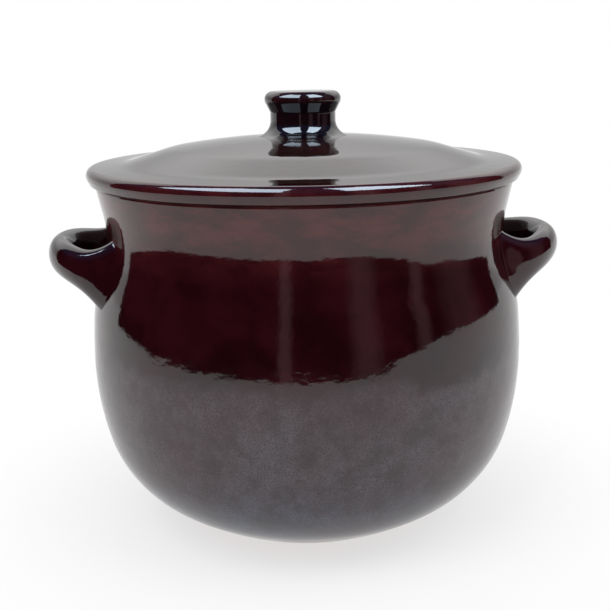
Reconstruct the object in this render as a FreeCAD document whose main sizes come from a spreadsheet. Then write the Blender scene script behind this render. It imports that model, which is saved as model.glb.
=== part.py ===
import FreeCAD, Part
import os
from math import asin, atan2, cos, pi, radians, sin, sqrt
import Sketcher

# A glazed earthenware bean pot: a thrown pot with two pulled loop handles luted to its shoulder,
# and a loose lid with a turned knob. Millimetres, +Z up. The origin is the centre of the foot's
# flat underside, the handles lie along X, and the pot's turning axis is Z.

doc = FreeCAD.newDocument("bean_pot")
V = FreeCAD.Vector


# Driving dimensions

SIZES = {
    # The pot's outer outline, from the foot to the rim. The drops hang from the rim's height
    "foot_radius": 60.0,
    "heel_height": 17.0,
    "hip_arc": 65.5,
    "hip_height": 53.5,
    "lower_belly_arc": 158.0,
    "belly_radius": 122.0,
    "belly_height": 96.0,
    "upper_belly_arc": 291.0,
    "shoulder_drop": 74.5,
    "neck_inset": 10.7,
    "neck_drop": 28.0,
    "neck_arc": 55.5,
    "rim_flare": 4.6,
    "rim_height": 195.5,
    "wall": 8.0,
    "lip_round": 1.8,
    "foot_round": 3.0,
    # The lid, measured from the seat where it rests on the rim
    "lid_overhang": 4.1,
    "lid_edge_arc": 4.0,
    "seat_inset": 1.7,
    "brim_height": 8.6,
    "brim_slope": 3.0,
    "brim_hollow_arc": 30.0,
    "dome_slope": 16.5,
    "dome_round_arc": 60.0,
    "crown_height": 22.8,
    "crown_arc": 480.0,
    "crown_inset": 45.9,
    "lid_thickness": 7.0,
    "flange_clearance": 1.2,
    "flange_width": 6.5,
    "flange_depth": 8.0,
    "flange_round": 2.5,
    "vault_round": 9.0,
    # The knob, measured from the lid's crown
    "knob_radius": 21.1,
    "knob_height": 23.7,
    "knob_edge_arc": 4.4,
    "knob_neck_height": 12.4,
    "knob_waist_radius": 18.1,
    "knob_flare_arc": 8.6,
    "knob_foot_radius": 27.0,
    "knob_foot_edge": 0.8,
    # The handles: the outer end's grip, hung from the rim's height, and the flared roots
    "handle_reach": 22.4,
    "handle_half_width": 41.0,
    "handle_root_depth": 13.0,
    "handle_drop": 39.7,
    "handle_root_drop": 9.0,
    "grip_half_thickness": 7.0,
    "grip_half_height": 10.3,
    "root_half_thickness": 6.0,
    "root_half_height": 20.0,
}

# Sizes that follow from the driving ones, so that the pieces keep fitting each other

FITTED = {
    "shoulder_height": "rim_height - shoulder_drop",
    "neck_height": "rim_height - neck_drop",
    "handle_height": "rim_height - handle_drop",
    "neck_radius": "belly_radius - neck_inset",
    "rim_radius": "neck_radius + rim_flare",
    "lid_radius": "rim_radius + lid_overhang",
    "seat_radius": "rim_radius - seat_inset",
    "crown_radius": "rim_radius - crown_inset",
    "flange_radius": "neck_radius - wall - flange_clearance",
    "vault_radius": "flange_radius - flange_width",
    "vault_arc": "crown_arc - lid_thickness",
    "root_distance": "neck_radius - handle_root_depth",
    "loop_reach": "belly_radius + handle_reach - grip_half_thickness - root_distance",
}

sheet = doc.addObject("Spreadsheet::Sheet", "Sizes")
formulas = {name: f"={formula}" for name, formula in FITTED.items()}
for row, (name, value) in enumerate({**SIZES, **formulas}.items(), start=1):
    sheet.set(f"A{row}", name)
    sheet.set(f"B{row}", str(value))
    sheet.setAlias(f"B{row}", name)
doc.recompute()


def size(name):
    """The sheet's value for one driving dimension."""
    return float(getattr(sheet, name))


def cell(name):
    """The name of a driving dimension as an expression writes it."""
    return f"Sizes.{name}"


# Sketch helpers

def polar(centre, radius, angle):
    """The point at this radius and angle (radians) round a centre."""
    return V(centre.x + radius * cos(angle), centre.y + radius * sin(angle), 0)


def plane_of(body, role):
    """One of a body's own origin planes."""
    for feature in body.Origin.OriginFeatures:
        if feature.Role == role:
            return feature
    raise ValueError(role)


def new_sketch(body, name, role="XZ_Plane"):
    """An empty sketch on one of the body's origin planes."""
    sketch = body.newObject("Sketcher::SketchObject", name)
    sketch.AttachmentSupport = [(plane_of(body, role), "")]
    sketch.MapMode = "FlatFace"
    return sketch


class Outline:
    """A closed outline of lines and arcs, each starting where the last one ended."""

    def __init__(self, sketch, start):
        self.sketch = sketch
        self.first = start
        self.at = start
        self.parts = []

    def line(self, end):
        """A straight run to the end point. Returns its number in the sketch."""
        number = self.sketch.addGeometry(Part.LineSegment(self.at, end), False)
        return self._add(number, 1, 2, end)

    def arc(self, centre, end):
        """The shorter arc round the centre to the end point. Returns its number."""
        begin = atan2(self.at.y - centre.y, self.at.x - centre.x)
        finish = atan2(end.y - centre.y, end.x - centre.x)
        turn = (finish - begin + pi) % (2 * pi) - pi
        circle = Part.Circle(centre, V(0, 0, 1), (self.at - centre).Length)
        if turn > 0:
            number = self.sketch.addGeometry(Part.ArcOfCircle(circle, begin, begin + turn), False)
            return self._add(number, 1, 2, end)
        number = self.sketch.addGeometry(Part.ArcOfCircle(circle, finish, finish - turn), False)
        return self._add(number, 2, 1, end)

    def _add(self, number, start, end, point):
        self.parts.append((number, start, end))
        self.at = point
        return number

    def join(self, smooth):
        """Join each run to the next one, tangent after the runs numbered in smooth."""
        for index, (number, _, end) in enumerate(self.parts):
            after, start, _ = self.parts[(index + 1) % len(self.parts)]
            kind = "Tangent" if number in smooth else "Coincident"
            self.sketch.addConstraint(Sketcher.Constraint(kind, number, end, after, start))

    def start_of(self, number):
        """The start point of a run, as a constraint names it."""
        return next((n, start) for n, start, _ in self.parts if n == number)

    def end_of(self, number):
        """The end point of a run, as a constraint names it."""
        return next((n, end) for n, _, end in self.parts if n == number)


def bind(sketch, constraint, name, formula):
    """Add a dimension to the sketch and tie it to the sheet."""
    index = sketch.addConstraint(constraint)
    sketch.renameConstraint(index, name)
    sketch.setExpression(f"Constraints.{name}", formula)


def across(sketch, point, name, formula, value):
    """Tie a point's distance from the turning axis."""
    bind(sketch, Sketcher.Constraint("DistanceX", -1, 1, *point, value), name, formula)


def above(sketch, point, name, formula, value):
    """Tie a point's height above the sketch's origin."""
    bind(sketch, Sketcher.Constraint("DistanceY", -1, 1, *point, value), name, formula)


def below(sketch, point, name, formula, value):
    """Tie a point's depth under the sketch's origin."""
    bind(sketch, Sketcher.Constraint("DistanceY", *point, -1, 1, value), name, formula)


def curve(sketch, number, name, formula, value):
    """Tie an arc's radius."""
    bind(sketch, Sketcher.Constraint("Radius", number, value), name, formula)


def falling(sketch, number, name, formula, degrees):
    """Tie the angle at which an outward line falls, in degrees."""
    bind(sketch, Sketcher.Constraint("Angle", number, -radians(degrees)), name, f"-1 deg * {formula}")


def on_axis(sketch, number, position):
    """Hold a point on the turning axis."""
    sketch.addConstraint(Sketcher.Constraint("PointOnObject", number, position, -2))


def level(sketch, number):
    """Hold a line level."""
    sketch.addConstraint(Sketcher.Constraint("Horizontal", number))


def upright(sketch, number):
    """Hold a line upright."""
    sketch.addConstraint(Sketcher.Constraint("Vertical", number))


def revolve(body, sketch, name):
    """Turn a closed outline once round the body's axis."""
    turned = body.newObject("PartDesign::Revolution", name)
    turned.Profile = sketch
    turned.ReferenceAxis = (sketch, ["V_Axis"])
    turned.Angle = 360
    sketch.Visibility = False
    doc.recompute()
    return turned


def ring_edges(feature, radius, height):
    """The names of a feature's level round edges at this radius and height."""
    names = []
    for number, edge in enumerate(feature.Shape.Edges, start=1):
        if edge.Degenerated or not isinstance(edge.Curve, Part.Circle):
            continue
        same_radius = abs(edge.Curve.Radius - radius) < 0.01
        if same_radius and abs(edge.Curve.Center.z - height) < 0.01:
            names.append(f"Edge{number}")
    return names


def round_rings(body, base, name, rings, formula):
    """Round the level edges named by their radius and height."""
    edges = [edge for radius, height in rings for edge in ring_edges(base, radius, height)]
    fillet = body.newObject("PartDesign::Fillet", name)
    fillet.Base = (base, edges)
    fillet.setExpression("Radius", formula)
    doc.recompute()
    return fillet


# The pot's outer outline

def pot_outline(body):
    """The pot's outside, solid to its axis: foot, heel, hip, belly, shoulder, neck and flared rim."""
    belly = V(size("belly_radius"), size("belly_height"), 0)
    foot = V(size("foot_radius"), 0, 0)
    rim = V(size("rim_radius"), size("rim_height"), 0)

    # Below the belly two arcs of known radius run down from an upright tangent
    low_arc = size("lower_belly_arc")
    low_centre = belly - V(low_arc, 0, 0)
    hip_turn = asin((belly.y - size("hip_height")) / low_arc)
    hip = polar(low_centre, low_arc, -hip_turn)
    hip_centre = polar(hip, size("hip_arc"), pi - hip_turn)
    heel_turn = asin((hip_centre.y - size("heel_height")) / size("hip_arc"))
    heel = polar(hip_centre, size("hip_arc"), -heel_turn)

    # The heel's arc leaves the hip's arc smoothly and ends at the foot
    outward = V(cos(heel_turn), -sin(heel_turn), 0)
    to_foot = foot - heel
    heel_arc = -to_foot.dot(to_foot) / (2 * to_foot.dot(outward))
    heel_centre = heel - outward * heel_arc

    # Above the belly an arc runs up to the shoulder's arc, which meets the hollow neck
    high_arc = size("upper_belly_arc")
    high_centre = belly - V(high_arc, 0, 0)
    shoulder_turn = asin((size("shoulder_height") - belly.y) / high_arc)
    shoulder = polar(high_centre, high_arc, shoulder_turn)
    neck_arc = size("neck_arc")
    neck_centre = V(size("neck_radius") + neck_arc, size("neck_height"), 0)
    outward = V(cos(shoulder_turn), sin(shoulder_turn), 0)
    to_neck = shoulder - neck_centre
    shoulder_arc = (to_neck.dot(to_neck) - neck_arc**2) / (2 * to_neck.dot(outward) + 2 * neck_arc)
    shoulder_centre = shoulder - outward * shoulder_arc
    toward_neck = neck_centre - shoulder_centre
    neck = shoulder_centre + toward_neck * (shoulder_arc / toward_neck.Length)

    # The flare is the straight tangent from the neck's arc to the rim
    to_rim = rim - neck_centre
    lean = atan2(to_rim.y, to_rim.x) + atan2(sqrt(to_rim.Length**2 - neck_arc**2), neck_arc)
    flare = polar(neck_centre, neck_arc, lean)

    sketch = new_sketch(body, "pot_outline")
    outline = Outline(sketch, V(0, 0, 0))
    foot_line = outline.line(foot)
    heel_run = outline.arc(heel_centre, heel)
    hip_run = outline.arc(hip_centre, hip)
    low_run = outline.arc(low_centre, belly)
    high_run = outline.arc(high_centre, shoulder)
    shoulder_run = outline.arc(shoulder_centre, neck)
    neck_run = outline.arc(neck_centre, flare)
    flare_line = outline.line(rim)
    mouth_line = outline.line(V(0, rim.y, 0))
    axis_line = outline.line(V(0, 0, 0))
    outline.join([heel_run, hip_run, high_run, shoulder_run, neck_run])

    sketch.addConstraint(Sketcher.Constraint("Coincident", foot_line, 1, -1, 1))
    level(sketch, foot_line)
    level(sketch, mouth_line)
    upright(sketch, axis_line)
    for run in (low_run, high_run):
        sketch.addConstraint(Sketcher.Constraint("Horizontal", run, 3, *outline.end_of(low_run)))
    across(sketch, outline.end_of(foot_line), "foot_radius", cell("foot_radius"), foot.x)
    above(sketch, outline.end_of(heel_run), "heel_height", cell("heel_height"), heel.y)
    curve(sketch, hip_run, "hip_arc", cell("hip_arc"), size("hip_arc"))
    above(sketch, outline.end_of(hip_run), "hip_height", cell("hip_height"), hip.y)
    curve(sketch, low_run, "lower_belly_arc", cell("lower_belly_arc"), low_arc)
    across(sketch, outline.end_of(low_run), "belly_radius", cell("belly_radius"), belly.x)
    above(sketch, outline.end_of(low_run), "belly_height", cell("belly_height"), belly.y)
    curve(sketch, high_run, "upper_belly_arc", cell("upper_belly_arc"), high_arc)
    above(sketch, outline.end_of(high_run), "shoulder_height", cell("shoulder_height"), shoulder.y)
    curve(sketch, neck_run, "neck_arc", cell("neck_arc"), neck_arc)
    neck_formula = f"{cell('neck_radius')} + {cell('neck_arc')}"
    across(sketch, (neck_run, 3), "neck_centre", neck_formula, neck_centre.x)
    above(sketch, (neck_run, 3), "neck_height", cell("neck_height"), neck_centre.y)
    across(sketch, outline.end_of(flare_line), "rim_radius", cell("rim_radius"), rim.x)
    above(sketch, outline.end_of(flare_line), "rim_height", cell("rim_height"), rim.y)
    doc.recompute()
    return sketch


# The pot: one thrown shell with a rounded lip and a flat foot

def make_pot():
    """Turn the outline, hollow it to an even wall through the mouth, and round lip and foot."""
    body = doc.addObject("PartDesign::Body", "pot_body")
    solid = revolve(body, pot_outline(body), "pot_turned")
    mouth = [
        f"Face{number}" for number, face in enumerate(solid.Shape.Faces, start=1)
        if face.BoundBox.ZMin > size("rim_height") - 0.01
    ]
    shell = body.newObject("PartDesign::Thickness", "pot_hollow")
    shell.Base = (solid, mouth)
    shell.setExpression("Value", cell("wall"))
    shell.Reversed = True
    shell.Mode = "Skin"
    shell.Join = "Intersection"
    doc.recompute()
    lip_height = size("rim_height")
    lip_rings = sorted({
        round(edge.Curve.Radius, 3) for edge in shell.Shape.Edges
        if not edge.Degenerated and edge.BoundBox.ZMin > lip_height - 0.01
    })
    rings = [(radius, lip_height) for radius in lip_rings]
    lip = round_rings(body, shell, "pot_lip", rings, cell("lip_round"))
    round_rings(body, lip, "pot_foot_edge", [(size("foot_radius"), 0)], cell("foot_round"))
    return body


# The lid: a flat brim, a low dome, and a flange that drops inside the pot's mouth

def lid_hollow(round_end, edge_top):
    """The hollow arc between the dome's slope and the brim: its start, its centre and its end.

    The centre stands the arc's own radius above both straight lines, so it solves
    dome_normal . centre = dome_normal . round_end + radius, and the same for the brim.
    """
    dome_turn = radians(size("dome_slope"))
    brim_turn = radians(size("brim_slope"))
    radius = size("brim_hollow_arc")
    dome_normal = V(sin(dome_turn), cos(dome_turn), 0)
    brim_normal = V(sin(brim_turn), cos(brim_turn), 0)
    dome_reach = dome_normal.dot(round_end) + radius
    brim_reach = brim_normal.dot(edge_top) + radius
    spread = sin(dome_turn - brim_turn)
    centre_x = (dome_reach * brim_normal.y - brim_reach * dome_normal.y) / spread
    centre_y = (brim_reach * dome_normal.x - dome_reach * brim_normal.x) / spread
    centre = V(centre_x, centre_y, 0)
    return centre - dome_normal * radius, centre, centre - brim_normal * radius


def lid_section(body):
    """The lid's section, drawn from its seat on the rim."""
    crown = V(0, size("crown_height"), 0)
    crown_centre = crown - V(0, size("crown_arc"), 0)
    crown_turn = asin(size("crown_radius") / size("crown_arc"))
    crown_end = polar(crown_centre, size("crown_arc"), pi / 2 - crown_turn)
    round_centre = polar(crown_end, size("dome_round_arc"), -pi / 2 - crown_turn)
    round_end = polar(round_centre, size("dome_round_arc"), pi / 2 - radians(size("dome_slope")))

    # The edge's arc stands at the lid's full radius, and a slope runs in from it to the seat
    edge_arc = size("lid_edge_arc")
    edge_centre = V(size("lid_radius") - edge_arc, size("brim_height") - edge_arc, 0)
    edge_top = polar(edge_centre, edge_arc, pi / 2 - radians(size("brim_slope")))
    seat = V(size("seat_radius"), 0, 0)
    to_seat = seat - edge_centre
    lean = atan2(to_seat.y, to_seat.x) + atan2(sqrt(to_seat.Length**2 - edge_arc**2), edge_arc)
    edge_end = polar(edge_centre, edge_arc, lean)
    hollow_start, hollow_centre, hollow_end = lid_hollow(round_end, edge_top)

    # The flange passes the neck with a clearance, and the vault runs under the crown at one thickness
    flange = size("flange_radius")
    vault = size("vault_radius")
    vault_arc = size("vault_arc")
    vault_side = crown_centre.y + sqrt(vault_arc**2 - vault**2)
    depth = size("flange_depth")

    sketch = new_sketch(body, "lid_section")
    outline = Outline(sketch, crown)
    crown_run = outline.arc(crown_centre, crown_end)
    round_run = outline.arc(round_centre, round_end)
    dome_line = outline.line(hollow_start)
    hollow_run = outline.arc(hollow_centre, hollow_end)
    brim_line = outline.line(edge_top)
    edge_run = outline.arc(edge_centre, edge_end)
    under_line = outline.line(seat)
    seat_line = outline.line(V(flange, 0, 0))
    flange_outside = outline.line(V(flange, -depth, 0))
    flange_bottom = outline.line(V(vault, -depth, 0))
    flange_inside = outline.line(V(vault, vault_side, 0))
    vault_run = outline.arc(crown_centre, V(0, crown_centre.y + vault_arc, 0))
    axis_line = outline.line(crown)
    outline.join([crown_run, round_run, dome_line, hollow_run, brim_line, edge_run])

    on_axis(sketch, crown_run, 3)
    on_axis(sketch, *outline.start_of(crown_run))
    sketch.addConstraint(Sketcher.Constraint("Coincident", vault_run, 3, crown_run, 3))
    sketch.addConstraint(Sketcher.Constraint("PointOnObject", *outline.end_of(under_line), -1))
    upright(sketch, axis_line)
    level(sketch, seat_line)
    upright(sketch, flange_outside)
    level(sketch, flange_bottom)
    upright(sketch, flange_inside)
    above(sketch, outline.start_of(crown_run), "crown_height", cell("crown_height"), crown.y)
    curve(sketch, crown_run, "crown_arc", cell("crown_arc"), size("crown_arc"))
    across(sketch, outline.end_of(crown_run), "crown_radius", cell("crown_radius"), crown_end.x)
    curve(sketch, round_run, "dome_round_arc", cell("dome_round_arc"), size("dome_round_arc"))
    falling(sketch, dome_line, "dome_slope", cell("dome_slope"), size("dome_slope"))
    curve(sketch, hollow_run, "brim_hollow_arc", cell("brim_hollow_arc"), size("brim_hollow_arc"))
    falling(sketch, brim_line, "brim_slope", cell("brim_slope"), size("brim_slope"))
    curve(sketch, edge_run, "lid_edge_arc", cell("lid_edge_arc"), edge_arc)
    edge_across = f"{cell('lid_radius')} - {cell('lid_edge_arc')}"
    across(sketch, (edge_run, 3), "edge_across", edge_across, edge_centre.x)
    edge_above = f"{cell('brim_height')} - {cell('lid_edge_arc')}"
    above(sketch, (edge_run, 3), "edge_above", edge_above, edge_centre.y)
    across(sketch, outline.end_of(under_line), "seat_radius", cell("seat_radius"), seat.x)
    across(sketch, outline.end_of(seat_line), "flange_radius", cell("flange_radius"), flange)
    below(sketch, outline.end_of(flange_outside), "flange_depth", cell("flange_depth"), depth)
    across(sketch, outline.end_of(flange_bottom), "vault_radius", cell("vault_radius"), vault)
    curve(sketch, vault_run, "vault_arc", cell("vault_arc"), vault_arc)
    doc.recompute()
    return sketch, [(flange, -depth), (vault, -depth)], [(vault, vault_side)]


def make_lid():
    """Turn the lid's section, then round the flange's edge and the corner of the vault."""
    body = doc.addObject("PartDesign::Body", "lid")
    sketch, flange_rings, vault_rings = lid_section(body)
    turned = revolve(body, sketch, "lid_turned")
    flange = round_rings(body, turned, "lid_flange_edge", flange_rings, cell("flange_round"))
    round_rings(body, flange, "lid_vault_corner", vault_rings, cell("vault_round"))
    body.setExpression("Placement.Base.z", cell("rim_height"))
    return body


# The knob: a waisted stem with a flat head, luted on the lid's crown

def knob_section(body):
    """The knob's section, drawn from the top of the crown. Its underside is the crown's own arc."""
    crown_centre = V(0, -size("crown_arc"), 0)
    foot = size("knob_foot_radius")
    foot_low = V(foot, crown_centre.y + sqrt(size("crown_arc")**2 - foot**2), 0)
    foot_high = foot_low + V(0, size("knob_foot_edge"), 0)

    # The flare ends upright at the waist, its own radius inside the arc's centre
    waist = size("knob_waist_radius")
    flare_arc = size("knob_flare_arc")
    flare_rise = sqrt(flare_arc**2 - (waist + flare_arc - foot)**2)
    flare_centre = V(waist + flare_arc, foot_high.y + flare_rise, 0)
    neck = V(waist, size("knob_neck_height"), 0)

    # Under the head a straight cone runs out from the neck and meets the edge's arc
    edge_arc = size("knob_edge_arc")
    edge_centre = V(size("knob_radius") - edge_arc, size("knob_height") - edge_arc, 0)
    to_neck = neck - edge_centre
    lean = atan2(to_neck.y, to_neck.x) + atan2(sqrt(to_neck.Length**2 - edge_arc**2), edge_arc)
    cone_end = polar(edge_centre, edge_arc, lean)

    sketch = new_sketch(body, "knob_section")
    outline = Outline(sketch, V(0, 0, 0))
    seat_run = outline.arc(crown_centre, foot_low)
    foot_line = outline.line(foot_high)
    flare_run = outline.arc(flare_centre, V(waist, flare_centre.y, 0))
    waist_line = outline.line(neck)
    cone_line = outline.line(cone_end)
    edge_run = outline.arc(edge_centre, edge_centre + V(0, edge_arc, 0))
    top_line = outline.line(V(0, size("knob_height"), 0))
    axis_line = outline.line(V(0, 0, 0))
    outline.join([flare_run, cone_line, edge_run])

    on_axis(sketch, seat_run, 3)
    sketch.addConstraint(Sketcher.Constraint("Coincident", *outline.start_of(seat_run), -1, 1))
    upright(sketch, foot_line)
    upright(sketch, waist_line)
    level(sketch, top_line)
    upright(sketch, axis_line)
    curve(sketch, seat_run, "crown_arc", cell("crown_arc"), size("crown_arc"))
    across(sketch, outline.end_of(seat_run), "knob_foot_radius", cell("knob_foot_radius"), foot)
    bind(
        sketch, Sketcher.Constraint("Distance", foot_line, size("knob_foot_edge")),
        "knob_foot_edge", cell("knob_foot_edge"),
    )
    curve(sketch, flare_run, "knob_flare_arc", cell("knob_flare_arc"), flare_arc)
    across(sketch, outline.end_of(flare_run), "knob_waist_radius", cell("knob_waist_radius"), waist)
    above(sketch, outline.end_of(waist_line), "knob_neck_height", cell("knob_neck_height"), neck.y)
    curve(sketch, edge_run, "knob_edge_arc", cell("knob_edge_arc"), edge_arc)
    edge_across = f"{cell('knob_radius')} - {cell('knob_edge_arc')}"
    across(sketch, (edge_run, 3), "edge_across", edge_across, edge_centre.x)
    above(sketch, outline.end_of(edge_run), "knob_height", cell("knob_height"), size("knob_height"))
    doc.recompute()
    return sketch


def make_knob():
    """Turn the knob's section and stand it on the lid's crown."""
    body = doc.addObject("PartDesign::Body", "knob")
    revolve(body, knob_section(body), "knob_turned")
    body.setExpression("Placement.Base.z", f"{cell('rim_height')} + {cell('crown_height')}")
    return body


# The handles: pulled loops, round at the outer end and flared where they are pressed on

def ellipse_section(body, name, half_thickness, half_height, place):
    """One upright oval section of a handle, its halves and its place given as sheet formulas.

    The section's own X axis points away from the pot and is turned round the vertical, so that
    the loop crosses the section squarely.
    """
    sketch = new_sketch(body, name)
    sketch.AttachmentOffset = FreeCAD.Placement(V(0, 0, 0), FreeCAD.Rotation(V(0, 1, 0), 1))
    for path, formula in place.items():
        sketch.setExpression(f"AttachmentOffset.{path}", formula)
    doc.recompute()
    thick = sketch.evalExpression(half_thickness)
    tall = sketch.evalExpression(half_height)
    long_end, short_end = (V(0, tall, 0), V(thick, 0, 0)) if tall > thick else (V(thick, 0, 0), V(0, tall, 0))
    oval = sketch.addGeometry(Part.Ellipse(long_end, short_end, V(0, 0, 0)), False)
    long_line = sketch.addGeometry(Part.LineSegment(-long_end, long_end), True)
    short_line = sketch.addGeometry(Part.LineSegment(-short_end, short_end), True)
    add = sketch.addConstraint
    add(Sketcher.Constraint("InternalAlignment:EllipseMajorDiameter", long_line, oval))
    add(Sketcher.Constraint("InternalAlignment:EllipseMinorDiameter", short_line, oval))
    add(Sketcher.Constraint("Coincident", oval, 3, -1, 1))
    height_line, width_line = (long_line, short_line) if tall > thick else (short_line, long_line)
    add(Sketcher.Constraint("Vertical", height_line))
    bind(sketch, Sketcher.Constraint("Distance", height_line, 2 * tall), "height", f"2 * ({half_height})")
    bind(sketch, Sketcher.Constraint("Distance", width_line, 2 * thick), "width", f"2 * ({half_thickness})")
    sketch.Visibility = False
    return sketch


# Sections from one root of a handle to the other, and how late its arms sink and its roots flare
HANDLE_SECTIONS = 15
SINK_POWER = 4
FLARE_POWER = 12


def make_loop(name, turn):
    """A handle's whole loop, a loft through oval sections, turned round the pot by this angle.

    The middle line is half an ellipse from root to root: at the angle t from the loop's middle,
    x = root_distance + loop_reach cos t and y = half_width sin t. Towards the roots it sinks with
    sin(t)^SINK_POWER, and the oval grows from the grip's to the root's with sin(t)^FLARE_POWER.
    """
    body = doc.addObject("PartDesign::Body", name)
    reach = cell("loop_reach")
    half_width = cell("handle_half_width")
    sections = []
    for number in range(HANDLE_SECTIONS):
        angle = -90 + 180 * number / (HANDLE_SECTIONS - 1)
        sink = abs(sin(radians(angle)))**SINK_POWER
        flare = abs(sin(radians(angle)))**FLARE_POWER
        x_share = cos(radians(angle))
        y_share = sin(radians(angle))
        thickness = f"{cell('grip_half_thickness')} * {1 - flare} + {cell('root_half_thickness')} * {flare}"
        height = f"{cell('grip_half_height')} * {1 - flare} + {cell('root_half_height')} * {flare}"
        place = {
            "Base.x": f"{cell('root_distance')} + {reach} * {x_share}",
            "Base.y": f"{cell('handle_height')} - {cell('handle_root_drop')} * {sink}",
            "Base.z": f"{half_width} * {-y_share}",
            "Rotation.Angle": f"atan2({reach} * {y_share}; {half_width} * {x_share})",
        }
        sections.append(ellipse_section(body, f"{name}_section_{number}", thickness, height, place))
    loft = body.newObject("PartDesign::AdditiveLoft", f"{name}_loft")
    loft.Profile = sections[0]
    loft.Sections = sections[1:]
    body.Placement = FreeCAD.Placement(V(0, 0, 0), FreeCAD.Rotation(V(0, 0, 1), turn))
    doc.recompute()
    return body


def make_handle(name, turn, core):
    """A handle whose roots end on the pot's outside."""
    handle = doc.addObject("Part::Cut", name)
    handle.Base = make_loop(f"{name}_loop", turn)
    handle.Tool = core
    doc.recompute()
    return handle


# Build the sub-parts

core = doc.addObject("PartDesign::Body", "pot_core")
revolve(core, pot_outline(core), "core_turned")

pieces = [
    make_pot(),
    make_handle("handle_left", 180, core),
    make_handle("handle_right", 0, core),
    make_lid(),
    make_knob(),
]
doc.recompute()


# Check the model, then write one file for each sub-part

for item in doc.Objects:
    if "Invalid" in item.State or "Error" in item.State:
        raise RuntimeError(f"{item.Label} could not be built")
for piece in pieces:
    shape = piece.Shape
    if shape.isNull() or not shape.isValid() or len(shape.Solids) != 1:
        raise RuntimeError(f"{piece.Label} is not one sound solid")

os.makedirs("parts", exist_ok=True)
for piece in pieces:
    piece.Shape.exportStep(f"parts/{piece.Label}.step")
    box = piece.Shape.optimalBoundingBox(False)
    print(
        f"{piece.Label}: {piece.Shape.Volume / 1000:.1f} cm3,"
        f" {box.XLength:.1f} x {box.YLength:.1f} x {box.ZLength:.1f} mm, bottom at {box.ZMin:.2f}"
    )
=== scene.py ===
import math
import bpy
import numpy as np
from mathutils import Matrix, Vector


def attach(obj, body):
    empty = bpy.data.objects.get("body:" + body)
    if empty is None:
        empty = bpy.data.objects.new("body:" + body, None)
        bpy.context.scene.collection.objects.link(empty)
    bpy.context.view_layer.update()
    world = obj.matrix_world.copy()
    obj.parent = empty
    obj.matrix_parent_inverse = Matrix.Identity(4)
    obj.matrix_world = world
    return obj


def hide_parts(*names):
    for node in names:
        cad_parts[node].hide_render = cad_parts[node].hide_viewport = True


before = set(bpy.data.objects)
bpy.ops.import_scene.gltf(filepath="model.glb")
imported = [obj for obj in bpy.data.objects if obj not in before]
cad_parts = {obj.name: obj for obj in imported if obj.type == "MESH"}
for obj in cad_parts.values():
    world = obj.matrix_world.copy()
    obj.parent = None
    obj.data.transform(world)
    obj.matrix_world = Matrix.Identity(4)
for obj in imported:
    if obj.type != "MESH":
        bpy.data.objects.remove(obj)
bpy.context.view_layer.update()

# A glazed earthenware bean pot, in metres, +Z up, standing on its foot at the origin. The sizes in
# the tables below are in millimetres and are turned into metres where a mesh is made.


# The pot
#
# One thrown shell of red clay, eight millimetres thick, dipped in a dark maroon-brown glaze. The
# foot was wiped before firing and stays bare. Its throwing rings still show on the inside.

MM = 0.001
AROUND = 256

# Each run is the end point's radius and height, and the radius of its arc (0 is straight). The
# clay lies to the left of the way the runs go, and every positive arc bulges to the right.
POT_START = (0.0, 0.0)
POT_RUNS = [
    (59.34, 0.0, 0),          # the foot's flat underside
    (60.61, 0.28, 3.0),
    (89.99, 17.0, 208.7),     # the heel
    (116.18, 53.5, 65.5),     # the hip
    (122.0, 96.0, 158.0),     # the belly
    (120.92, 121.0, 291.0),
    (114.82, 148.06, 102.3),  # the shoulder
    (112.44, 178.69, -55.5),  # the hollow neck
    (115.45, 193.34, 0),      # the flare
    (113.69, 195.5, 1.8),     # the lip
    (109.20, 195.5, 0),
    (107.44, 194.06, 1.8),
    (104.6, 180.3, 0),        # down the inside
    (107.32, 145.25, 63.5),
    (112.95, 120.31, -94.3),
    (114.0, 96.0, -283.0),
    (108.47, 55.65, -150.0),
    (85.48, 23.61, -57.5),
    (58.22, 8.0, -200.7),
    (0.0, 8.0, 0),
]
POT_INSIDE_FROM = 12

# The wall's slow waves outside: each one's height, its crests round the pot, and the rise over
# which it leans by one radian. They are drawn in, so that none stands out of the true wall.
WALL_WAVES = [(0.1, 2, 40.0), (0.05, 5, 23.0)]
WALL_DRAWN_IN = 0.16

# The fingers' spirals inside: each one's height, its pitch and which way it climbs
SPIRALS = [(0.22, 11.0, -1), (0.05, 3.1, 1)]
SPIRAL_FOOT = 8.5
SPIRAL_TOP = 188.0

# The bare foot ends at this height, give or take three waves round the pot: each one's height,
# its number of crests and where it starts, in radians
GLAZE_LINE = 7.5
GLAZE_LINE_WAVES = [(0.7, 3, 1.0), (0.5, 7, 0.0), (0.3, 16, 0.0)]

# Up the neck the glaze thins, and down the belly a grey film covers it, which dulls the gloss; its
# grey is partly painted reflection of the white table that the belly mirrors. For each, the height
# where it begins, the height over which it comes in, and how strong it gets
THIN_FROM, THIN_OVER, THIN_MOST = 156.0, 26.0, 0.65
FILM_AND_SHEEN_FROM, FILM_AND_SHEEN_OVER, FILM_AND_SHEEN_MOST = 122.0, 30.0, 0.85


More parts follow.
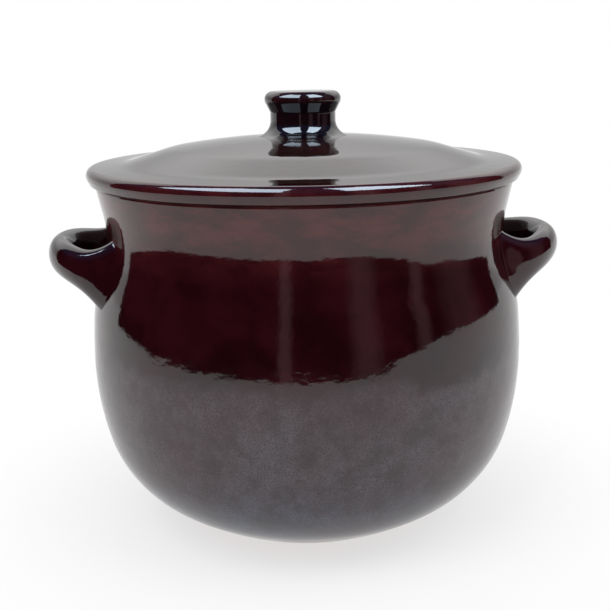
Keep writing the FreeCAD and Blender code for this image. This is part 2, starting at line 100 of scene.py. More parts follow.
def section_line(start, runs, step=2.0, turn=6.0):
    """Points along straight runs and arcs, no more than step apart nor turning more than turn.

    An arc's centre stands off the middle of its chord by sqrt(radius^2 - half chord^2), on the
    left for a positive radius. Returns the points, each one's run and its arc's radius.
    """
    points = [np.array([start], float)]
    numbers = [np.zeros(1, int)]
    radii = [np.zeros(1)]
    for number, (end_r, end_z, radius) in enumerate(runs):
        begin, end = points[-1][-1], np.array([end_r, end_z])
        chord = end - begin
        length = np.hypot(*chord)
        if radius == 0:
            count = max(1, math.ceil(length / step))
            share = np.arange(1, count + 1)[:, None] / count
            line = begin + share * chord
        else:
            left = np.array([-chord[1], chord[0]]) / length
            off = math.sqrt(radius**2 - length**2 / 4)
            centre = begin + chord / 2 + left * math.copysign(off, radius)
            first = math.atan2(*(begin - centre)[::-1])
            sweep = 2 * math.asin(length / 2 / abs(radius)) * math.copysign(1, radius)
            by_step = math.ceil(abs(radius * sweep) / step)
            by_turn = math.ceil(abs(sweep) / math.radians(turn))
            count = max(1, by_step, by_turn)
            angle = first + sweep * np.arange(1, count + 1) / count
            line = centre + abs(radius) * np.c_[np.cos(angle), np.sin(angle)]
        line[-1] = end
        points.append(line)
        numbers.append(np.full(count, number))
        radii.append(np.full(count, float(radius)))
    return np.concatenate(points), np.concatenate(numbers), np.concatenate(radii)


def mesh_object(name, points, faces, marks=None):
    """A smooth-shaded mesh object at the origin, its points given in millimetres."""
    mesh = bpy.data.meshes.new(name)
    mesh.from_pydata((points * MM).tolist(), [], faces)
    mesh.polygons.foreach_set("use_smooth", np.ones(len(mesh.polygons), bool))
    for mark, values in (marks or {}).items():
        kept = mesh.attributes.new(mark, "FLOAT", "POINT")
        kept.data.foreach_set("value", values.astype(np.float32))
    mesh.update()
    made = bpy.data.objects.new(name, mesh)
    bpy.context.scene.collection.objects.link(made)
    return made


def tube_faces(rings, around, flipped=False):
    """The faces of a closed tube: its rings of points one after another, then two end points.

    The point c of the ring r is number r * around + c. Quads join each ring to the next, and a
    fan joins the first and the last ring to their end points. flipped turns every face over.
    """
    row, column = np.meshgrid(np.arange(rings - 1), np.arange(around), indexing="ij")
    after = (column + 1) % around
    quads = np.stack([
        row * around + column, row * around + after,
        (row + 1) * around + after, (row + 1) * around + column,
    ], -1).reshape(-1, 4)
    column, after = column[0], after[0]
    last, ends = (rings - 1) * around, rings * around
    low = np.stack([np.full(around, ends), after, column], -1)
    high = np.stack([np.full(around, ends + 1), last + column, last + after], -1)
    if flipped:
        quads, low, high = quads[:, [0, 3, 2, 1]], low[:, [0, 2, 1]], high[:, [0, 2, 1]]
    return quads.tolist() + low.tolist() + high.tolist()


def turned(name, line, push=None, marks=None, around=AROUND):
    """A surface of revolution: the line turned round Z, closed by a fan at each end on the axis.

    A point at the radius r and the angle a stands at ((r + push) cos a, (r + push) sin a, z).
    """
    angle = np.arange(around) * 2 * np.pi / around
    ring = line[1:-1]
    radius = ring[:, :1] + (np.zeros(around) if push is None else push(ring, angle))
    height = ring[:, 1:] + 0 * radius
    points = np.stack([radius * np.cos(angle), radius * np.sin(angle), height], -1)
    ends = [[0, 0, line[0, 1]], [0, 0, line[-1, 1]]]
    points = np.concatenate([points.reshape(-1, 3), ends])
    spread = {
        mark: np.r_[np.repeat(values[1:-1], around), values[0], values[-1]]
        for mark, values in (marks or {}).items()
    }
    return mesh_object(name, points, tube_faces(len(ring), around), spread)


def node(tree, kind, inputs=None, **settings):
    """A shader node with these settings, its inputs given as values or as sockets to link."""
    made = tree.nodes.new(kind)
    for key, value in settings.items():
        setattr(made, key, value)
    for key, value in (inputs or {}).items():
        if isinstance(value, bpy.types.NodeSocket):
            tree.links.new(value, made.inputs[key])
        else:
            made.inputs[key].default_value = value
    return made


def mix_colour(tree, share, first, second):
    """The second colour laid over the first by a share from 0 to 1."""
    made = node(tree, "ShaderNodeMix", {0: share, 6: first, 7: second}, data_type="RGBA")
    return made.outputs[2]


def ramp(tree, value, low, high, low_out=0.0, high_out=1.0):
    """A value spread smoothly from low and high to low_out and high_out."""
    ends = {"From Min": low, "From Max": high, "To Min": low_out, "To Max": high_out}
    made = node(
        tree, "ShaderNodeMapRange", {"Value": value, **ends}, interpolation_type="SMOOTHSTEP"
    )
    return made.outputs["Result"]


def maths(tree, operation, first, second):
    """Two values put together by this operation."""
    return node(tree, "ShaderNodeMath", {0: first, 1: second}, operation=operation).outputs[0]


def on_piece(tree):
    """The place on the piece, in metres."""
    return node(tree, "ShaderNodeTexCoord").outputs["Object"]


def height_of(tree, place):
    """How far up a place or a direction lies."""
    return node(tree, "ShaderNodeSeparateXYZ", {"Vector": place}).outputs["Z"]


def noise(tree, place, scale, detail, roughness=0.5):
    """A cloudy value about 0.5, with scale clouds to the metre and detail finer layers in them."""
    made = node(
        tree, "ShaderNodeTexNoise",
        {"Vector": place, "Scale": scale, "Detail": detail, "Roughness": roughness},
    )
    return made.outputs["Fac"]


def laid_level(tree, place, times):
    """A place with its height counted this many times, so that clouds on it lie level."""
    scale = (1.0, 1.0, times)
    return node(tree, "ShaderNodeMapping", {"Vector": place, "Scale": scale}).outputs["Vector"]


def new_material(name):
    """A new material, its tree and its shader."""
    made = bpy.data.materials.new(name)
    made.use_nodes = True
    return made, made.node_tree, made.node_tree.nodes["Principled BSDF"]


DEEP_MAROON = (0.0095, 0.0009, 0.002, 1)
WARM_MAROON = (0.022, 0.0024, 0.005, 1)
THIN_RED = (0.105, 0.018, 0.018, 1)
# The film's grey is partly painted reflection of the white table; its blue is painted reflection
GREY_FILM_AND_SHEEN = (0.085, 0.07, 0.082, 1)
BLUE_TABLE_SHEEN = (0.055, 0.07, 0.11, 1)
BROWN_CLOUD = (0.05, 0.026, 0.034, 1)
# Painted shade for the inside of the pinholes
PINHOLE_SHADE = (0.008, 0.003, 0.003, 1)


def glaze_skin():
    """The glaze's surface: cloudy maroon, redder where it is thin, with film, pinholes and peel.

    Clouds of about 3 cm mix the deep and the warm colour. Where Thin is up, the clay's red comes
    through in level streaks of about 2 cm. Where the film is up, a net of 1.5 mm cells in patches
    of about 1 cm dulls the gloss and greys the colour, the grey partly painted reflection of the
    white table, browner in clouds of about 7 cm and, as painted reflection, bluer towards the
    foot.
    Sparse pinholes of about 1 mm are dents, darkened as painted shade. The relief is slow level
    ripples, pebbles of 6 mm and orange peel of 2.5 mm, with the pinholes sunk and the film raised.
    """
    tree = bpy.data.node_groups.new("glaze_skin", "ShaderNodeTree")
    for label, kind, value in (
        ("Deep", "NodeSocketColor", DEEP_MAROON),
        ("Warm", "NodeSocketColor", WARM_MAROON),
        ("Film And Sheen Colour", "NodeSocketColor", GREY_FILM_AND_SHEEN),
        ("Thin", "NodeSocketFloat", 0.0),
        ("Film And Sheen", "NodeSocketFloat", 0.0),
        ("Gloss Roughness", "NodeSocketFloat", 0.0),
        ("Peel", "NodeSocketFloat", 0.0),
    ):
        socket = tree.interface.new_socket(label, in_out="INPUT", socket_type=kind)
        socket.default_value = value
    for label, kind in (("Colour", "Color"), ("Roughness", "Float"), ("Normal", "Vector")):
        tree.interface.new_socket(label, in_out="OUTPUT", socket_type=f"NodeSocket{kind}")
    given = tree.nodes.new("NodeGroupInput").outputs
    result = tree.nodes.new("NodeGroupOutput").inputs
    place = on_piece(tree)

    clouds = noise(tree, place, 34.0, 5.0, 0.62)
    colour = mix_colour(tree, ramp(tree, clouds, 0.35, 0.7), given["Deep"], given["Warm"])

    breaks = noise(tree, laid_level(tree, place, 2.6), 50.0, 6.0, 0.6)
    worn = maths(tree, "MULTIPLY", given["Thin"], ramp(tree, breaks, 0.36, 0.66, 0.3, 1.0))
    colour = mix_colour(tree, worn, colour, THIN_RED)

    cells = node(
        tree, "ShaderNodeTexVoronoi", {"Vector": place, "Scale": 680.0, "Randomness": 1.0},
        feature="DISTANCE_TO_EDGE",
    )
    net = ramp(tree, cells.outputs["Distance"], 0.04, 0.2, 1.0, 0.5)
    patches = noise(tree, place, 90.0, 6.0, 0.68)
    film_and_sheen = maths(tree, "MULTIPLY", given["Film And Sheen"], net)
    film_and_sheen = maths(tree, "MULTIPLY", film_and_sheen, ramp(tree, patches, 0.34, 0.62, 0.45, 1.0))
    low = ramp(tree, height_of(tree, place), 0.02, 0.07, 1.0, 0.0)
    # The film's colour: grey as partly painted reflection of the white table, bluer near the foot
    # as painted reflection
    film_and_sheen_colour = mix_colour(tree, low, given["Film And Sheen Colour"], BLUE_TABLE_SHEEN)
    brown_clouds = ramp(tree, noise(tree, place, 15.0, 4.0, 0.6), 0.42, 0.66, 0.0, 0.7)
    film_and_sheen_colour = mix_colour(tree, brown_clouds, film_and_sheen_colour, BROWN_CLOUD)
    colour = mix_colour(tree, film_and_sheen, colour, film_and_sheen_colour)

    spots = node(
        tree, "ShaderNodeTexVoronoi", {"Vector": place, "Scale": 52.0, "Randomness": 1.0}
    )
    pick = node(tree, "ShaderNodeSeparateColor", {"Color": spots.outputs["Color"]})
    hole = ramp(tree, spots.outputs["Distance"], 0.012, 0.03, 1.0, 0.0)
    hole = maths(tree, "MULTIPLY", hole, ramp(tree, pick.outputs["Red"], 0.7, 0.72))
    # Painted shade in the pinholes, which the relief below sinks
    colour = mix_colour(tree, hole, colour, PINHOLE_SHADE)

    smears = noise(tree, place, 60.0, 6.0, 0.7)
    rough = maths(tree, "MULTIPLY", film_and_sheen, 0.16)
    rough = maths(tree, "ADD", rough, given["Gloss Roughness"])
    rough = maths(tree, "ADD", rough, ramp(tree, smears, 0.5, 0.8, 0.0, 0.05))

    ripples = noise(tree, laid_level(tree, place, 2.4), 55.0, 2.0)
    pebbles = noise(tree, place, 170.0, 3.0, 0.6)
    peel = noise(tree, place, 420.0, 3.0)
    height = maths(tree, "MULTIPLY", ripples, 3.0)
    for relief, strength in ((pebbles, 1.9), (peel, 0.55), (hole, -3.0), (film_and_sheen, 0.3)):
        height = maths(tree, "ADD", height, maths(tree, "MULTIPLY", relief, strength))
    bump = node(
        tree, "ShaderNodeBump", {"Strength": given["Peel"], "Distance": 0.0001, "Height": height}
    )
    tree.links.new(colour, result["Colour"])
    tree.links.new(rough, result["Roughness"])
    tree.links.new(bump.outputs["Normal"], result["Normal"])
    return tree


GLAZE_SKIN = glaze_skin()

# The glass of the glaze bends light this much, which sets how strongly it mirrors
GLAZE_GLOSS = 1.57


def glaze(name, film_and_sheen=0.0, peel=0.3, gloss_roughness=0.06, colours=None):
    """A glossy maroon-brown glaze, given the strength of its film and painted sheen where the
    mesh's film mark is 1.

    The film's ragged edge follows a noise of about 3 cm. colours gives the skin's colours where
    they aren't the pot's, such as the knob's painted shade and the lid's painted olive reflection
    tint.
    """
    made, tree, shader = new_material(name)
    thin = node(tree, "ShaderNodeAttribute", attribute_name="thin").outputs["Fac"]
    mark = node(tree, "ShaderNodeAttribute", attribute_name="film_and_sheen").outputs["Fac"]
    drift = noise(tree, on_piece(tree), 30.0, 7.0, 0.68)
    edge = maths(tree, "ADD", mark, maths(tree, "MULTIPLY", drift, 1.2))
    skin = node(tree, "ShaderNodeGroup", {
        "Thin": thin, "Film And Sheen": ramp(tree, edge, 0.95, 1.3, 0.0, film_and_sheen),
        "Peel": peel, "Gloss Roughness": gloss_roughness, **(colours or {}),
    }, node_tree=GLAZE_SKIN)
    tree.links.new(skin.outputs["Colour"], shader.inputs["Base Color"])
    tree.links.new(skin.outputs["Roughness"], shader.inputs["Roughness"])
    tree.links.new(skin.outputs["Normal"], shader.inputs["Normal"])
    shader.inputs["IOR"].default_value = GLAZE_GLOSS
    return made


CLAY_RED = (0.44, 0.13, 0.065, 1)
CLAY_PALE = (0.6, 0.24, 0.14, 1)
GROG_DARK = (0.2, 0.06, 0.035, 1)


def bare_clay(name):
    """Fired red clay: blushes of about 2 cm, dark grog of 1 mm, and a dry, slightly rough face."""
    made, tree, shader = new_material(name)
    place = on_piece(tree)
    blush = noise(tree, place, 60.0, 6.0, 0.65)
    colour = mix_colour(tree, ramp(tree, blush, 0.32, 0.68), CLAY_RED, CLAY_PALE)
    grog = node(tree, "ShaderNodeTexVoronoi", {"Vector": place, "Scale": 900.0})
    grain = ramp(tree, grog.outputs["Distance"], 0.1, 0.35, 1.0, 0.0)
    pick = node(tree, "ShaderNodeSeparateColor", {"Color": grog.outputs["Color"]})
    dark = ramp(tree, pick.outputs["Green"], 0.55, 0.9, 0.0, 0.7)
    colour = mix_colour(tree, maths(tree, "MULTIPLY", grain, dark), colour, GROG_DARK)
    fine = noise(tree, place, 1500.0, 4.0)
    height = maths(tree, "ADD", fine, maths(tree, "MULTIPLY", grain, 0.5))
    bump = node(tree, "ShaderNodeBump", {"Strength": 0.6, "Distance": 0.0002, "Height": height})
    tree.links.new(colour, shader.inputs["Base Color"])
    tree.links.new(ramp(tree, blush, 0.3, 0.7, 0.72, 0.9), shader.inputs["Roughness"])
    tree.links.new(bump.outputs["Normal"], shader.inputs["Normal"])
    return made


def waves(rows, angle):
    """Sine waves added up round a piece, each given by its height, its crests and its start."""
    return sum(high * np.sin(crests * angle + start) for high, crests, start in rows)


pot_line, pot_numbers, _ = section_line(POT_START, POT_RUNS)
pot_outside = pot_numbers < POT_INSIDE_FROM
first_inside = int(np.argmin(pot_outside)) - 1


def pot_push(ring, angle):
    """How far the thrown wall strays from true, in millimetres and always inwards on the outside.

    Outside, slow waves round the pot and faint rings up it, both dying away at the foot. Inside,
    the fingers' spiral: a wave of 11 mm pitch that climbs one pitch each turn round the pot, with
    a finer one against it, both dying away at the floor and below the lip.
    """
    z = ring[:, 1:]
    inside = (np.arange(len(ring)) >= first_inside)[:, None]
    slow = waves([(high, crests, z / lean) for high, crests, lean in WALL_WAVES], angle)
    rings = 0.008 * np.sin(z / 1.6 + 0.4 * np.sin(3 * angle))
    outside = (slow - WALL_DRAWN_IN + rings) * np.clip(z / 12, 0, 1)
    spiral = sum(
        high * np.sin(2 * np.pi * z / pitch + way * angle) for high, pitch, way in SPIRALS
    )
    fade = np.clip((SPIRAL_TOP - z) / 12, 0, 1) * np.clip((z - SPIRAL_FOOT) / 10, 0, 1)
    return np.where(inside, spiral * fade, outside)


pot_thin = np.clip((pot_line[:, 1] - THIN_FROM) / THIN_OVER, 0, 1) * THIN_MOST * pot_outside
pot_film_and_sheen = np.clip((FILM_AND_SHEEN_FROM - pot_line[:, 1]) / FILM_AND_SHEEN_OVER, 0, 1) * pot_outside
pot = turned("bean_pot_shell", pot_line, pot_push, {"thin": pot_thin, "film_and_sheen": pot_film_and_sheen})
pot.data.materials.append(glaze("pot_glaze", film_and_sheen=FILM_AND_SHEEN_MOST))
pot.data.materials.append(bare_clay("pot_bare_clay"))

# The bare faces are those below the glaze line that don't look up, as the floor inside does
middles, facing = np.empty((2, 3 * len(pot.data.polygons)), np.float32)
pot.data.polygons.foreach_get("center", middles)
pot.data.polygons.foreach_get("normal", facing)
face_x, face_y, face_z = middles.reshape(-1, 3).T.astype(float) / MM
glaze_line = GLAZE_LINE + waves(GLAZE_LINE_WAVES, np.arctan2(face_y, face_x))
bare = (face_z < glaze_line) & (facing[2::3] < 0.05)
pot.data.polygons.foreach_set("material_index", bare.astype(np.int32))
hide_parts("pot_body")
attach(pot, "pot")


# The two handles
#
# Each is a pulled strap of the same clay bent into a loop, pressed and smoothed on at both roots,
# and dipped with the pot. The arms are round at the outer end and spread where they meet the wall.

HANDLE_ROOT_DISTANCE = 98.3
HANDLE_REACH = 39.1
HANDLE_HALF_WIDTH = 41.0
HANDLE_HEIGHT = 155.8
HANDLE_SINK = 9.0
GRIP_HALVES = (7.0, 10.3)
ROOT_HALVES = (6.0, 20.0)

# The marks of pulling: how much each wave thins the strap, and its crests along and round it
PULL_WAVES = [(0.012, 5, 3), (0.01, 9, 1)]

# The clay smoothed on at the roots: how far it spreads, over what gap from the wall that falls
# off, how much more there is of it underneath, and how deep a root may go into the wall
ROOT_SPREAD = 2.0
ROOT_FALL = 3.2
ROOT_UNDER = 1.2
SUNK_IN_WALL = 2.5

# The pot's runs from the heel to the flare, the wall that the roots meet
WALL_RUNS = (2, 8)


def wall_radius(height):
    """The pot's outside radius at a height, read off the pot's own section."""
    side = pot_line[(pot_numbers >= WALL_RUNS[0]) & (pot_numbers <= WALL_RUNS[1])]
    return np.interp(height, side[:, 1], side[:, 0])


def handle_points(bearing, steps=168, around=72):
    """A loop's surface: an oval carried along half an ellipse from root to root.

    At the angle t from the loop's middle, the middle line stands at root_distance + reach cos t
    out from the axis and half_width sin t across, and sinks with sin(t)^4. The oval grows with
    sin(t)^12, and slow waves along and round it thin it by up to 2 per cent. Near the wall each
    point moves out along it by ROOT_SPREAD exp(-gap / ROOT_FALL), both up to 1 + ROOT_UNDER times
    as large underneath, and none goes deeper into the wall than SUNK_IN_WALL. The whole loop is
    then turned round the pot by its bearing.
    """
    t = np.linspace(-np.pi / 2, np.pi / 2, steps)[:, None]
    a = (np.arange(around) * 2 * np.pi / around)[None, :]
    flare = np.abs(np.sin(t)) ** 12
    thick = GRIP_HALVES[0] * (1 - flare) + ROOT_HALVES[0] * flare
    tall = GRIP_HALVES[1] * (1 - flare) + ROOT_HALVES[1] * flare
    pull = 1 - sum(
        most * (1 + np.sin(along * t + across * a)) / 2 for most, along, across in PULL_WAVES
    )
    away = np.concatenate([HANDLE_HALF_WIDTH * np.cos(t), HANDLE_REACH * np.sin(t)], 1)
    away = away / np.linalg.norm(away, axis=1, keepdims=True)
    x = HANDLE_ROOT_DISTANCE + HANDLE_REACH * np.cos(t) + away[:, :1] * thick * np.cos(a) * pull
    y = HANDLE_HALF_WIDTH * np.sin(t) + away[:, 1:] * thick * np.cos(a) * pull
    z = HANDLE_HEIGHT - HANDLE_SINK * np.abs(np.sin(t)) ** 4 + tall * np.sin(a) * pull
    points = np.stack([x, y, z], -1)

    # The skin's direction along the wall, for the smoothed-on clay at the roots
    distance = np.hypot(points[..., 0], points[..., 1])
    gap = np.maximum(distance - wall_radius(points[..., 2]), 0)[..., None]
    out = np.stack([points[..., 0], points[..., 1], 0 * distance], -1) / distance[..., None]
    skin = np.stack([away[:, :1] * np.cos(a), away[:, 1:] * np.cos(a), np.sin(a) + 0 * t], -1)
    skin = skin - out * (skin * out).sum(-1, keepdims=True)
    under = 1 + ROOT_UNDER * np.maximum(-np.sin(a), 0)[..., None]
    points = points + skin * ROOT_SPREAD * under * np.exp(-gap / (ROOT_FALL * under))

    distance = np.hypot(points[..., 0], points[..., 1])
    least = wall_radius(points[..., 2]) - SUNK_IN_WALL
    points[..., :2] *= np.maximum(least / distance, 1)[..., None]
    c, s = math.cos(bearing), math.sin(bearing)
    return points @ np.array([[c, s, 0], [-s, c, 0], [0, 0, 1]])


def handle(name, bearing):
    """One loop handle's mesh, closed by a fan inside the wall at each root."""
    points = handle_points(bearing)
    steps, around = points.shape[:2]
    flat = np.concatenate([points.reshape(-1, 3), [points[0].mean(0), points[-1].mean(0)]])
    return mesh_object(name, flat, tube_faces(steps, around, flipped=True))


handle_glaze = glaze("handle_glaze", peel=0.35)
for side, cad_node, bearing in (("left", "handle_left", math.pi), ("right", "handle_right", 0.0)):
    loop = handle(f"loop_handle_{side}", bearing)
    loop.data.materials.append(handle_glaze)
    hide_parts(cad_node)
    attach(loop, "pot")


# The lid
#
# A thrown disc with a flat brim and a low dome, turned upside down on the wheel to throw the
# flange that drops into the mouth. It rests loose on the lip. Flange and seat were wiped bare.

LID_START = (0.0, 211.3)
LID_RUNS = [
    (88.28, 202.99, -473.0),  # the vault
    (95.6, 194.15, -9.0),
    (95.6, 190.0, 0),
    (98.1, 187.5, 2.5),
    (99.6, 187.5, 0),         # the flange's edge
    (102.1, 190.0, 2.5),
    (102.1, 195.5, 0),
    (114.2, 195.5, 0),        # the seat
    (117.7, 195.5, 0),
    (118.52, 196.02, 0.9),
    (119.62, 198.4, 0),
    (116.21, 204.09, 4.0),    # the lid's rounded edge
    (103.4, 204.77, 0),       # the brim
    (96.45, 205.96, -30.0),
    (78.29, 211.34, 0),
    (70.0, 213.17, 60.0),     # the dome
    (0.0, 218.3, 480.0),
]
LID_BARE_RUNS = (2, 7)
LID_TOP_FROM = 12

# The brim's slow waves: each one's height, crests and start. They are drawn in, as the wall's are,
# and die away inwards to the dome's foot.
BRIM_WAVES = [(0.12, 2, 0.7), (0.06, 5, 0.0)]
BRIM_DRAWN_IN = 0.18
DOME_FOOT = 103.0

# On top a film reaches out to this radius, olive as a painted reflection tint that warms the
# lid's mirrored white, and at the rounds the glaze is this thin
LID_FILM_AND_SHEEN_TO = 113.0
LID_FILM_AND_SHEEN_MOST = 0.12
LID_OLIVE_SHEEN = (0.08, 0.1, 0.05, 1)
LID_THIN_MOST = 0.35


def thin_glaze(line, radii, spread, tightest=6.0):
    """How thin the fired glaze lies, 0 to 1: it draws back from sharp outward rounds.

    The rounds tighter than tightest count as 1, blurred along the line by a bell curve of this
    spread (mm).
    """
    walked = np.r_[0, np.cumsum(np.hypot(*np.diff(line, axis=0).T))]
    sharp = ((radii > 0) & (radii < tightest)).astype(float)
    weight = np.exp(-((walked[:, None] - walked[None, :]) / spread) ** 2 / 2)
    return (weight @ sharp) / weight.sum(1)


def lid_push(ring, angle):
    """How far the lid strays from true, in millimetres: always inwards, and only on its brim."""
    slow = waves(BRIM_WAVES, angle) - BRIM_DRAWN_IN
    return slow * np.clip((ring[:, :1] - DOME_FOOT) / 10, 0, 1)


lid_line, lid_numbers, lid_radii = section_line(LID_START, LID_RUNS)
lid_thin = thin_glaze(lid_line, lid_radii, spread=1.2) * LID_THIN_MOST
lid_film_and_sheen = np.clip((LID_FILM_AND_SHEEN_TO - lid_line[:, 0]) / 4, 0, 1) * (lid_numbers >= LID_TOP_FROM)
lid = turned("pot_lid", lid_line, lid_push, {"thin": lid_thin, "film_and_sheen": lid_film_and_sheen})
lid.data.materials.append(glaze(
    "lid_glaze", film_and_sheen=LID_FILM_AND_SHEEN_MOST, peel=0.24, gloss_roughness=0.05,
    colours={"Film And Sheen Colour": LID_OLIVE_SHEEN},
))
lid.data.materials.append(bare_clay("lid_bare_clay"))
row_run = lid_numbers[2:-1]
row_bare = (row_run >= LID_BARE_RUNS[0]) & (row_run <= LID_BARE_RUNS[1])
face_bare = np.r_[np.repeat(row_bare, AROUND), np.zeros(2 * AROUND, bool)]
lid.data.polygons.foreach_set("material_index", face_bare.astype(np.int32))
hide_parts("lid")
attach(lid, "lid")


# The knob
#
# A small turned stem with a flat head, luted on the crown of the lid, where its foot spreads into
# the lid's surface. It was glazed with the lid. Its glaze colours are darker and less red than
# the pot's, as painted shade for the knob's dark, bluish look.

KNOB_START = (0.0, 218.3)
KNOB_RUNS = [
    (26.9, 217.3, -480.0),
    (26.9, 217.48, 0),
    (18.1, 226.1, -8.7),      # the spreading foot
    (18.1, 230.7, 0),         # the stem
    (20.69, 235.74, 0),
    (16.7, 242.0, 4.4),       # the head's round
    (0.0, 242.0, 0),
]
# Painted shade: the knob's glaze colours, darker and less red than the pot's
KNOB_SHADED_DEEP = (0.004, 0.002, 0.0035, 1)
KNOB_SHADED_WARM = (0.008, 0.003, 0.005, 1)
KNOB_THIN_MOST = 0.15

knob_line, _, knob_radii = section_line(KNOB_START, KNOB_RUNS, step=1.0, turn=5.0)
knob_thin = thin_glaze(knob_line, knob_radii, spread=1.0) * KNOB_THIN_MOST
knob = turned("lid_knob", knob_line, marks={"thin": knob_thin}, around=160)
knob.data.materials.append(glaze(
    "knob_glaze", peel=0.15, gloss_roughness=0.05,
    colours={"Deep": KNOB_SHADED_DEEP, "Warm": KNOB_SHADED_WARM},
))
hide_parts("knob")
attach(knob, "lid")


# The table, the backdrop and the soft light
#
# A white table with white all round it. A dark cloth shell stands round the front of the
# table and over it, seen only in the glaze's reflections, with two pale panels let into it.

TABLE_WHITE = (0.93, 0.93, 0.93, 1)
TABLE_REACH = 9.0

# How much of the table under the pot is plain white to the eye, and the distances between which
# that grows to all of it
TABLE_SHOWN = 0.66
TABLE_FADE = (0.07, 0.24)

# The cloth's shell, in metres and degrees
CLOTH_RADIUS = 0.68
CLOTH_MIDDLE = 0.2
CLOTH_SPREAD = 109.0
CLOTH_TOP = 52.0
CLOTH_BROWN = (0.04, 0.008, 0.012, 1)
CLOTH_BLUE = (0.04, 0.07, 0.17, 1)
# Rosy light for the strips of painted light on the cloth
ROSE_LIGHT_STRIP = (0.7, 0.4, 0.44, 1)

# The hem rises off the table at both sides: which side, from what angle, over how much more of it
# and how high
CLOTH_HEM = [(1, 30.0, 30.0, 0.11), (-1, 80.0, 25.0, 0.06)]

# Each rosy strip of painted light on the cloth: its middle, half width (degrees from -Y towards
# +X) and strength
CLOTH_LIGHT_STRIPS = [(-13.0, 4.0, 0.6), (24.0, 9.0, 0.42), (53.0, 5.0, 0.5), (78.0, 16.0, 0.25)]

# Each panel's span round the table and its strength, and how far up both of them go
PANELS = [("left", (-86, -14), 11.5), ("right", (18, 66), 14.0)]
PANEL_UP = (34, 72)
PANEL_RADIUS = CLOTH_RADIUS - 0.01
PANEL_BLUE_WHITE = (0.7, 0.85, 1.0, 1)

# The white's own light, and what is added where it is seen: by the camera, and in the glaze, where
# it falls from SHOWN to MIRRORED_LOW at the table's level and gains MIRRORED_HIGH further up
WHITE_LIGHT = 0.55
WHITE_SHOWN = 0.45
MIRRORED_LOW = 0.16
MIRRORED_HIGH = 0.86


def showing(tree):
    """1 where the white round the pot is seen: by the camera, in the glaze and through things."""
    rays = node(tree, "ShaderNodeLightPath").outputs
    seen = maths(tree, "MAXIMUM", rays["Is Camera Ray"], rays["Is Glossy Ray"])
    return maths(tree, "MAXIMUM", seen, rays["Is Transmission Ray"])


def open_material(name):
    """A new material without a shader, its tree and the socket for its surface."""
    made, tree, shader = new_material(name)
    tree.nodes.remove(shader)
    return made, tree, tree.nodes["Material Output"].inputs["Surface"]


def shown_white(name, colour, share, fade):
    """A pale matt surface that keeps part of its shadow.

    Where it is seen this share of it is plain white light, which grows to all of it between the
    two distances of fade (metres) from the middle.
    """
    made, tree, surface = open_material(name)
    matt = node(tree, "ShaderNodeBsdfDiffuse", {"Color": colour})
    light = node(tree, "ShaderNodeEmission", {"Color": (1, 1, 1, 1), "Strength": 1.0})
    away = node(tree, "ShaderNodeVectorMath", {0: on_piece(tree)}, operation="LENGTH")
    part = ramp(tree, away.outputs["Value"], *fade, share, 1.0)
    blend = node(tree, "ShaderNodeMixShader", {
        0: maths(tree, "MULTIPLY", showing(tree), part), 1: matt.outputs[0], 2: light.outputs[0],
    })
    tree.links.new(blend.outputs[0], surface)
    return made


def plain_light(name, colour, strength):
    """A surface that shines evenly with one colour."""
    made, tree, surface = open_material(name)
    light = node(tree, "ShaderNodeEmission", {"Color": colour, "Strength": strength})
    tree.links.new(light.outputs[0], surface)
    return made


def cloth_light(name):
    """Dark cloth that shines a little: brown below, bluish above, and brighter in rosy strips of
    painted light.
    """
    made, tree, surface = open_material(name)
    light_strip = node(tree, "ShaderNodeAttribute", attribute_name="light_strip").outputs["Fac"]
    above = ramp(tree, height_of(tree, on_piece(tree)), 0.38, 0.5)
    colour = mix_colour(tree, light_strip, mix_colour(tree, above, CLOTH_BROWN, CLOTH_BLUE), ROSE_LIGHT_STRIP)
    light = node(tree, "ShaderNodeEmission", {"Color": colour, "Strength": 1.0})
    tree.links.new(light.outputs[0], surface)
    return made


def staged(name, points, faces, material, marks=None, only_reflected=False):
    """A stage surface given by its points in metres."""
    made = mesh_object(name, points / MM, faces, marks)
    made.data.materials.append(material)
    if only_reflected:
        made.visible_camera = False
        made.visible_diffuse = False
        made.visible_shadow = False
        made.visible_transmission = False


def hem_height(around):
    """How high the cloth hangs above the table at these angles round it, in metres."""
    return sum(
        high * np.clip((side * around - begins) / over, 0, 1)
        for side, begins, over, high in CLOTH_HEM
    )


def light_strip_mark(around):
    """How strong the rosy strips of painted light are at these angles: full over a strip's middle
    third, 0 at its ends.
    """
    return np.max([
        strength * np.clip(1.5 - 1.5 * np.abs(around - middle) / half, 0, 1)
        for middle, half, strength in CLOTH_LIGHT_STRIPS
    ], 0)


def patch(name, radius, around, up, material, columns=72, rows=36, hem=None, light_strips=None):
    """A piece of an upright shell, seen only in reflections, between two angles each way.

    The angles are in degrees, those around counted from -Y towards +X. Above its middle the shell
    is a ball of this radius, and below it a cylinder down to its hem or the table. The last two
    arguments give the hem's height and the mark of the rosy painted light strips by the angle
    around.
    """
    around, up = np.meshgrid(np.linspace(*around, columns), np.linspace(*up, rows), indexing="ij")
    bearing, climb = np.radians(around), np.radians(up)
    reach = radius * np.where(up > 0, np.cos(climb), 1)
    rise = radius * np.where(up > 0, np.sin(climb), np.tan(climb))
    height = np.maximum(CLOTH_MIDDLE + rise, 0.001)
    if hem is not None:
        height = np.maximum(height, hem(around))
    points = np.stack([reach * np.sin(bearing), -reach * np.cos(bearing), height], -1)
    column, row = np.meshgrid(np.arange(columns - 1), np.arange(rows - 1), indexing="ij")
    at = column * rows + row
    quads = np.stack([at, at + rows, at + rows + 1, at + 1], -1).reshape(-1, 4)
    marks = None if light_strips is None else {"light_strip": light_strips(around).ravel()}
    staged(name, points.reshape(-1, 3), quads.tolist(), material, marks, only_reflected=True)


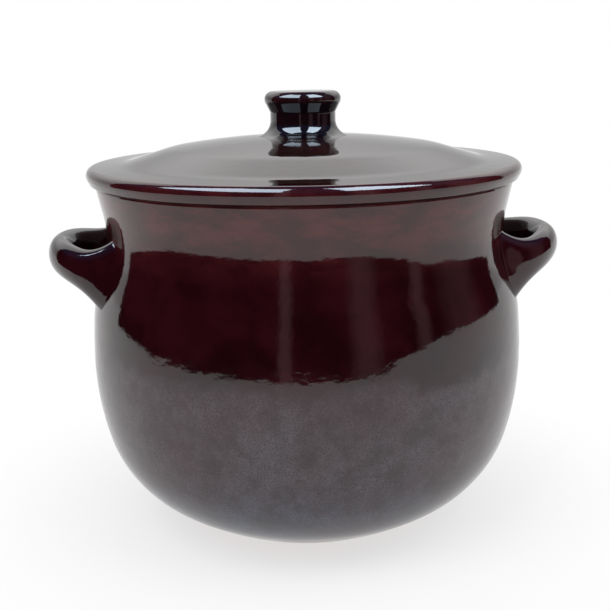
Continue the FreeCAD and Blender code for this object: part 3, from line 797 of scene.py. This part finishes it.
staged(
    "table", TABLE_REACH * np.array([(-1, -1, 0), (1, -1, 0), (1, 1, 0), (-1, 1, 0)]),
    [(0, 1, 2, 3)], shown_white("table_white", TABLE_WHITE, TABLE_SHOWN, TABLE_FADE),
)

dark_cloth = cloth_light("dark_cloth")
patch(
    "cloth_round_the_front", CLOTH_RADIUS, (-CLOTH_SPREAD, CLOTH_SPREAD), (-17, CLOTH_TOP),
    dark_cloth, columns=360, hem=hem_height, light_strips=light_strip_mark,
)
patch("cloth_overhead", CLOTH_RADIUS, (-180, 180), (CLOTH_TOP, 90), dark_cloth)
for side, span, strength in PANELS:
    shine = plain_light(f"{side}_panel", PANEL_BLUE_WHITE, strength)
    patch(f"panel_{side}", PANEL_RADIUS, span, PANEL_UP, shine)

world = bpy.data.worlds.new("studio")
bpy.context.scene.world = world
world.use_nodes = True
sky = world.node_tree
rise = height_of(sky, node(sky, "ShaderNodeTexCoord").outputs["Generated"])
mirrored = maths(
    sky, "ADD",
    ramp(sky, rise, -0.1, 0.06, WHITE_SHOWN, MIRRORED_LOW),
    ramp(sky, rise, 0.18, 0.55, 0.0, MIRRORED_HIGH),
)
camera_ray = node(sky, "ShaderNodeLightPath").outputs["Is Camera Ray"]
shown = maths(sky, "MAXIMUM", mirrored, maths(sky, "MULTIPLY", camera_ray, WHITE_SHOWN))
shown = maths(sky, "MULTIPLY", showing(sky), shown)
sky.links.new(maths(sky, "ADD", shown, WHITE_LIGHT), sky.nodes["Background"].inputs["Strength"])
sky.nodes["Background"].inputs["Color"].default_value = (1, 1, 1, 1)


def soft_box(name, place, watts, target=(0, 0, 0.1), size=0.9):
    """A square soft light aimed at a point, left out of reflections."""
    lamp = bpy.data.lights.new(name, "AREA")
    lamp.shape = "SQUARE"
    lamp.size = size
    lamp.energy = watts
    made = bpy.data.objects.new(name, lamp)
    made.location = place
    made.rotation_euler = (Vector(target) - Vector(place)).to_track_quat("-Z", "Y").to_euler()
    made.visible_glossy = False
    bpy.context.scene.collection.objects.link(made)


soft_box("soft_light_left", (-0.7, -0.7, 1.3), 9.0)
soft_box("soft_light_right", (0.9, -0.5, 1.2), 6.0)


# The camera, at the photograph's height and angle

CAMERA_DISTANCE = 0.540
CAMERA_HEIGHT = 0.2573
CAMERA_YAW = math.radians(3.0)
CAMERA_PITCH = math.radians(14.26)
CAMERA_ROLL = math.radians(1.0)
CAMERA_SIDESTEP = -0.00067
CAMERA_LENS = 56.43

camera = bpy.data.objects.new("camera", bpy.data.cameras.new("camera"))
camera.data.sensor_width = 36.0
camera.data.lens = CAMERA_LENS
camera.data.clip_start = 0.02
aim = Matrix.Rotation(-CAMERA_YAW, 4, "Z") @ Matrix.Rotation(math.pi / 2 - CAMERA_PITCH, 4, "X")
aim = aim @ Matrix.Rotation(-CAMERA_ROLL, 4, "Z")
aside = Vector((math.cos(CAMERA_YAW), -math.sin(CAMERA_YAW), 0)) * CAMERA_SIDESTEP
back = Vector((-math.sin(CAMERA_YAW), -math.cos(CAMERA_YAW), 0)) * CAMERA_DISTANCE
camera.matrix_world = Matrix.Translation(back + aside + Vector((0, 0, CAMERA_HEIGHT))) @ aim
bpy.context.scene.collection.objects.link(camera)
bpy.context.scene.camera = camera
bpy.context.scene.view_settings.view_transform = "Standard"
